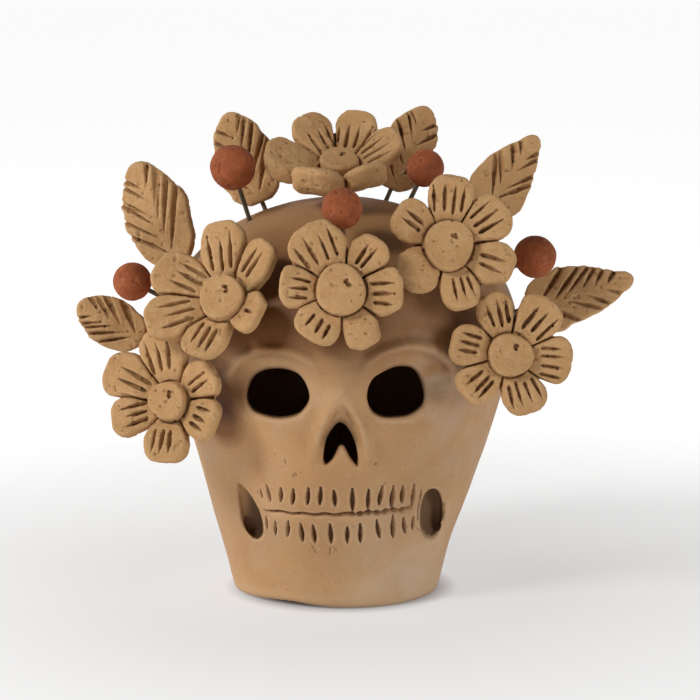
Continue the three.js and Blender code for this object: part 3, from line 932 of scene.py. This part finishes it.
def petal_field(x, y, z, petal, outline, crease, disc_radius, chance):
    """One petal, pinched flat and bent up, with grooves pressed out from the centre."""
    _, reach, width, rise, lift, tilt, grooves, *swollen = petal
    more = sum(swollen)
    along, across = petal_lines(x, y, petal)
    share = np.clip(along / reach, 0, 1.1)
    thick = PETAL_HALF_THICKNESS + more * smooth_step(share, 0.3, 0.9)
    middle = (
        0.7 * smooth_step(along, disc_radius - 0.5, disc_radius + 4.5) - 0.8
        + lift * smooth_step(share, 0.15, 0.5) + rise * share**2
        + math.tan(math.radians(tilt)) * across * smooth_step(share, 0.3, 0.8)
        - 0.7 * (2 * across / width) ** 2 * share
    )
    height = z - middle
    field = slab(outline, height, thick, 1.5 + 0.6 * more)
    field = smooth_max(field, np.minimum(0.5 * crease + 0.28, height + 0.9), 1.1)
    aside = chance.uniform(-1.1, 1.1)
    begin = disc_radius + chance.uniform(1.2, 2.6)
    for k in range(grooves):
        place = (k - (grooves - 1) / 2) * 0.20 * width + aside + chance.uniform(-0.25, 0.25)
        start = (begin + chance.uniform(-0.4, 0.9), place * 0.88)
        length = min(chance.uniform(0.34, 0.48) * reach, 0.86 * reach - start[0])
        end = (start[0] + length, place * 1.12 + chance.uniform(-0.4, 0.4))
        face = height - PETAL_HALF_THICKNESS
        slot = groove(along, across, face, start, end, chance.uniform(0.54, 0.72), 2.1)
        field = smooth_max(field, slot, 0.3)
    return field


def roughen(mesh, seed, lumps=0.24, grain=0.09):
    """Finger-formed lumps and sandy grain."""
    points = mesh_points(mesh)
    heights = lumps * noise(points, 6.5, seed) + 0.5 * lumps * noise(points, 2.4, seed + 1)
    heights = heights + grain * noise(points, 0.9, seed + 2)
    pits = noise(points, 1.5, seed + 3)
    push(mesh, heights - 0.34 * smooth_step(pits, 0.52, 0.80))
    mark_hollows(mesh)


def add_clay(name, node, field, low, step, place, seed, *roughness):
    """Meshes a flower's or leaf's field, roughens it and adds it as a piece."""
    points, faces = surface(field, low, step)
    mesh = make_mesh(name, place.to_row(points), faces)
    roughen(mesh, seed, *roughness)
    add_piece(name, mesh, SAND, ROOT_BODY, node)


def disc_radius_of(name, place):
    local = place.to_local(node_points(name + "_disc"))
    return float(np.hypot(local[:, 0], local[:, 1]).max())


def petal_span(values, tip, pad):
    """The stretch of cells that a petal can reach along one axis."""
    wanted = (values > min(0, tip) - pad) & (values < max(0, tip) + pad)
    return slice(int(wanted.argmax()), len(values) - int(wanted[::-1].argmax()))


def make_petals(name, place, disc_radius, seed):
    chance = np.random.default_rng(seed)
    reach = max(petal[1] for petal in FLOWERS[name]) + 2
    low = np.array([-reach, -reach, HUB_BACK - 2])
    high = np.array([reach, reach, 14.0])
    x, y, z = grid(low, high, CLAY_STEP)
    around = np.hypot(x, y)
    middle, half_thickness = (HUB_FRONT + HUB_BACK) / 2, (HUB_FRONT - HUB_BACK) / 2
    hub = slab(around - disc_radius * 0.95, z - middle, half_thickness, 1.6)
    field = hub + np.zeros_like(x + y + z)
    outlines = []
    for petal in FLOWERS[name]:
        along, across = petal_lines(x, y, petal)
        shape = petal_outline(petal[1], petal[2], chance.uniform(-0.10, 0.10, 5))
        outlines.append(outline_distance(along, across, shape))
    for n, petal in enumerate(FLOWERS[name]):
        turn = math.radians(petal[0])
        pad = petal[2] / 2 + 2.5
        rows = petal_span(x.ravel(), math.cos(turn) * petal[1], pad)
        columns = petal_span(y.ravel(), math.sin(turn) * petal[1], pad)
        others = np.min(outlines[:n] + outlines[n + 1:], axis=0)
        outline, crease = outlines[n][rows, columns], (outlines[n] - others)[rows, columns]
        part = petal_field(x[rows], y[:, columns], z, petal, outline, crease, disc_radius, chance)
        field[rows, columns] = np.minimum(field[rows, columns], part)
    seat = np.maximum(around - (disc_radius + 0.1), SEAT - z)
    field = smooth_max(field, -seat, 0.35)
    socket = np.maximum(around - SOCKET_RADIUS, z - (WIRE_END + SOCKET_SPARE))
    field = np.maximum(field, -socket)
    add_clay(name + "_pinched_petals", name + "_petals", field, low, CLAY_STEP, place, seed)


def make_disc(name, place, radius, seed):
    """The pellet pressed on a flower's middle, a little out of round, with a dented mark."""
    chance = np.random.default_rng(seed)
    low = np.array([-radius - 2, -radius - 2, DISC_LOW - 1.5])
    high = np.array([radius + 2, radius + 2, DISC_LOW + DISC_THICKNESS + 2])
    x, y, z = grid(low, high, DISC_STEP)
    turn = np.arctan2(y, x)
    bent = 0.32 * np.cos(2 * turn + chance.uniform(0, 6))
    bent = bent + 0.22 * np.cos(3 * turn + chance.uniform(0, 6))
    lean = chance.uniform(-0.05, 0.05, 2)
    around = np.hypot(x, y)
    height = z - (DISC_LOW + DISC_THICKNESS / 2) + 0.3 * (around / radius) ** 2 - 0.3
    height = height + lean[0] * x + lean[1] * y
    field = slab(around - radius + 0.4 + bent, height, DISC_THICKNESS / 2, 0.9)
    field = np.maximum(field, DISC_LOW - z)
    mark = np.array([0.18, 0.28]) * radius
    top = DISC_LOW + DISC_THICKNESS
    for _ in range(5):
        u, v = mark + chance.uniform(-0.9, 0.9, 2)
        dent = np.sqrt((x - u) ** 2 + (y - v) ** 2 + (z - top + 0.3) ** 2 / 3)
        field = smooth_max(field, chance.uniform(0.45, 0.75) - dent, 0.2)
    add_clay(name + "_pressed_disc", name + "_disc", field, low, DISC_STEP, place, seed, 0.14, 0.06)


def make_flowers():
    for n, name in enumerate(FLOWERS):
        place = flower_place(name)
        radius = disc_radius_of(name, place)
        make_petals(name, place, radius, PETAL_SEED + n)
        make_disc(name, place, radius, DISC_SEED + n)


# ---- Leaves ----
# Leaves are (width, where it is widest, tip radius, then for the left and right of the face:
# veins, angle, slot half width).
LEAVES = {
    "crown_left_leaf": (21.0, 0.42, 3.6, (4, 46, 0.60), (5, 30, 0.95)),
    "crown_right_leaf": (18.0, 0.46, 2.6, (5, 34, 0.85), (4, 42, 0.66)),
    "upper_left_leaf": (21.5, 0.44, 4.6, (6, 44, 0.62), (5, 24, 1.05)),
    "lower_left_leaf": (16.5, 0.46, 3.2, (5, 32, 0.62), (4, 34, 1.00)),
    "upper_right_leaf": (18.0, 0.32, 3.0, (4, 30, 1.00), (4, 30, 0.80)),
    "lower_right_leaf": (19.0, 0.30, 2.8, (6, 40, 0.85), (4, 32, 0.80)),
}
LEAF_HALF_THICKNESS = 1.85


def leaf_half_width(share, width, widest):
    rise, fall = 1.1 * widest, 1.1 * (1 - widest)
    peak = widest**rise * (1 - widest) ** fall
    return width / 2 * (share + 0.02) ** rise * np.clip(1 - share, 0, 1) ** fall / peak


def leaf_outline(length, width, widest, seed):
    """An oval drawn to a narrower tip, with edges pinched unevenly by hand."""
    shares = 1 - (1 - np.linspace(0, 1, 34)) ** 1.25
    along = shares * length
    sides = []
    for side in (0, 50):
        places = np.stack([along, np.full_like(along, seed * 7.0 + side), np.zeros_like(along)], 1)
        uneven = 1 + 0.07 * noise(places, 3.1, seed) + 0.05 * noise(places, 7.0, seed)
        sides.append(leaf_half_width(shares, width, widest) * uneven)
    up = np.stack([along, sides[0]], 1)
    down = np.stack([along, -sides[1]], 1)[::-1]
    return np.concatenate([up, down[1:]])


def make_leaf(name, seed):
    width, widest, tip, left, right = LEAVES[name]
    place, length = leaf_place(name)
    chance = np.random.default_rng(seed)
    low = np.array([-3.0, -width / 2 - 3, -6.0])
    high = np.array([length + 3, width / 2 + 3, 8.0])
    x, y, z = grid(low, high, CLAY_STEP)
    share = np.clip(x / length, 0, 1)
    cupped = 1.1 * (2 * np.abs(y) / width) ** 1.6 * smooth_step(share, 0, 0.35)
    bend = 0.8 * np.sin(share * 3) + 0.05 * y * np.sin(share * 4)
    height = z + cupped - bend * smooth_step(share, 0.1, 0.5)
    flat_x, flat_y = x[:, :, 0], y[:, :, 0]
    outline = outline_distance(flat_x, flat_y, leaf_outline(length, width, widest, seed))
    outline = smooth_min(outline, np.hypot(flat_x - length + tip, flat_y) - tip, 1.5)[:, :, None]
    thickness = LEAF_HALF_THICKNESS + 0.7 * smooth_step(-x, -9, 0)
    field = slab(outline, height, thickness, 1.0)
    for side, (veins, angle, half_width) in ((1, left), (-1, right)):
        for k in range(veins):
            root = (0.06 + 0.76 * (k + 0.5) / veins) * length + chance.uniform(-0.8, 0.8)
            lean = math.radians(angle + chance.uniform(-5, 5))
            beyond = min(root / length + 0.15, 0.9)
            reach = chance.uniform(0.85, 1.2) * leaf_half_width(beyond, width, widest) + 0.6
            begin = side * chance.uniform(0.4, 1.5)
            inner = (root, begin)
            outer = (root + reach / math.tan(lean), begin + side * reach)
            face = height - LEAF_HALF_THICKNESS
            slot = groove(x, y, face, outer, inner, half_width * chance.uniform(0.85, 1.1), 2.1)
            field = smooth_max(field, slot, 0.3)
    socket = np.maximum(np.hypot(y, z) - SOCKET_RADIUS, x - LEAF_SOCKET_DEPTH)
    field = np.maximum(field, -socket)
    add_clay(name + "_cut", name, field, low, CLAY_STEP, place, seed, 0.16)


# ---- Berries ----
def make_berry(name, seed):
    """A ball rolled by hand, not quite round, on its wire."""
    inner, outer = wire_ends(name, name + "_wire")
    centre = node_centre(name)
    low_corner, high_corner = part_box(name)
    radius = float(max(high_corner - low_corner)) * MM / 2
    way = unit(outer - inner)
    low = centre - radius - 2
    x, y, z = grid(low, centre + radius + 2, CLAY_STEP)
    ball = np.sqrt((x - centre[0]) ** 2 + (y - centre[1]) ** 2 + (z - centre[2]) ** 2) - radius
    socket = segment_distance(x, y, z, inner, outer + way * SOCKET_SPARE) - SOCKET_RADIUS
    chance = np.random.default_rng(seed)
    for _ in range(7):
        facing = unit(chance.normal(size=3) + [0, -0.8, 0])
        spot = centre + facing * (radius + 0.1)
        aside = unit(np.cross(facing, chance.normal(size=3))) * chance.uniform(0.2, 1.3)
        nick = segment_distance(x, y, z, spot - aside, spot + aside)
        ball = smooth_max(ball, chance.uniform(0.25, 0.42) - nick, 0.25)
    points, faces = surface(np.maximum(ball, -socket), low, CLAY_STEP)
    mesh = make_mesh(name, points, faces)
    roughen(mesh, seed, 0.2, 0.03)
    add_piece(name + "_ball", mesh, RED, name + "_on_wire", name)


# ---- Studio ----
CAMERA_DISTANCE = 900.0
CAMERA_RISE = math.radians(9)
CAMERA_LENS = 140.3
CAMERA_TARGET = AXIS + [3.0, 0.0, 79.5]


def aim(thing, target):
    way = Vector(target) / MM - thing.location
    thing.rotation_euler = way.to_track_quat("-Z", "Y").to_euler()


def add_camera():
    data = bpy.data.cameras.new("camera")
    data.lens = CAMERA_LENS
    data.clip_end = 100
    camera = add_object("camera", data)
    back = np.array([0, -math.cos(CAMERA_RISE), math.sin(CAMERA_RISE)])
    camera.location = Vector(CAMERA_TARGET + back * CAMERA_DISTANCE) / MM
    aim(camera, CAMERA_TARGET)
    bpy.context.scene.camera = camera


def add_light(name, place, size, watts, target):
    data = bpy.data.lights.new(name, "AREA")
    data.shape = "DISK"
    data.size = size / MM
    data.energy = watts
    light = add_object(name, data)
    light.location = Vector(place) / MM
    aim(light, target)


def add_floor():
    """A pale sweep that glows like an overlit one, but not under the skull."""
    size = 60_000
    corners = [(-size, -size, 0), (size, -size, 0), (size, size, 0), (-size, size, 0)]
    mesh = polygon_mesh("floor", corners, [(0, 1, 2, 3)])
    floor = add_object("floor", mesh)
    s = Shader("floor")
    s.surface.inputs["Base Color"].default_value = rgb(0.36, 0.36, 0.36)
    s.surface.inputs["Roughness"].default_value = 0.9
    s.surface.inputs["Emission Color"].default_value = rgb(1.0, 0.995, 0.99)
    # The glow is dimmer near the skull and fades out round its base: a painted shade on the floor there.
    away = s.near([0, 0, 0], 500)
    glow = s.spread(away, 0.86, 0.3, 0.50, 0.85)
    clear = s.spread(away, 0.945, 0.922)
    s.feed(s.surface.inputs["Emission Strength"], s.multiply(glow, clear))
    mesh.materials.append(s.material)


def add_studio():
    scene = bpy.context.scene
    scene.view_settings.view_transform = "Standard"
    world = bpy.data.worlds.new("studio")
    world.use_nodes = True
    nodes, links = world.node_tree.nodes, world.node_tree.links
    background = nodes["Background"]
    background.inputs["Color"].default_value = rgb(1.0, 1.0, 1.0)
    axes = nodes.new("ShaderNodeSeparateXYZ")
    behind = nodes.new("ShaderNodeMapRange")
    for name, value in (("From Min", 0.1), ("From Max", 0.8), ("To Min", 0.06), ("To Max", 0.74)):
        behind.inputs[name].default_value = value
    links.new(nodes.new("ShaderNodeTexCoord").outputs["Generated"], axes.inputs[0])
    links.new(axes.outputs["Y"], behind.inputs["Value"])
    links.new(behind.outputs["Result"], background.inputs["Strength"])
    scene.world = world
    target = AXIS + [0, 0, 70]
    add_light("key", AXIS + [-1070, -900, 1045], 500, 16, target)
    add_light("side", AXIS + [-1450, 0, 460], 800, 7, target)
    add_light("fill", AXIS + [1450, -840, 365], 800, 8, target)
    add_floor()


make_skull()
make_flowers()
for number, leaf in enumerate(LEAVES):
    make_leaf(leaf, LEAF_SEED + number)
for number, berry in enumerate(BERRIES):
    make_berry(berry, BERRY_SEED + number)
for clay_node, wire_node in wires():
    on_berry = clay_node in BERRIES
    make_wire(clay_node, wire_node, clay_node + "_on_wire" if on_berry else ROOT_BODY)
add_camera()
add_studio()
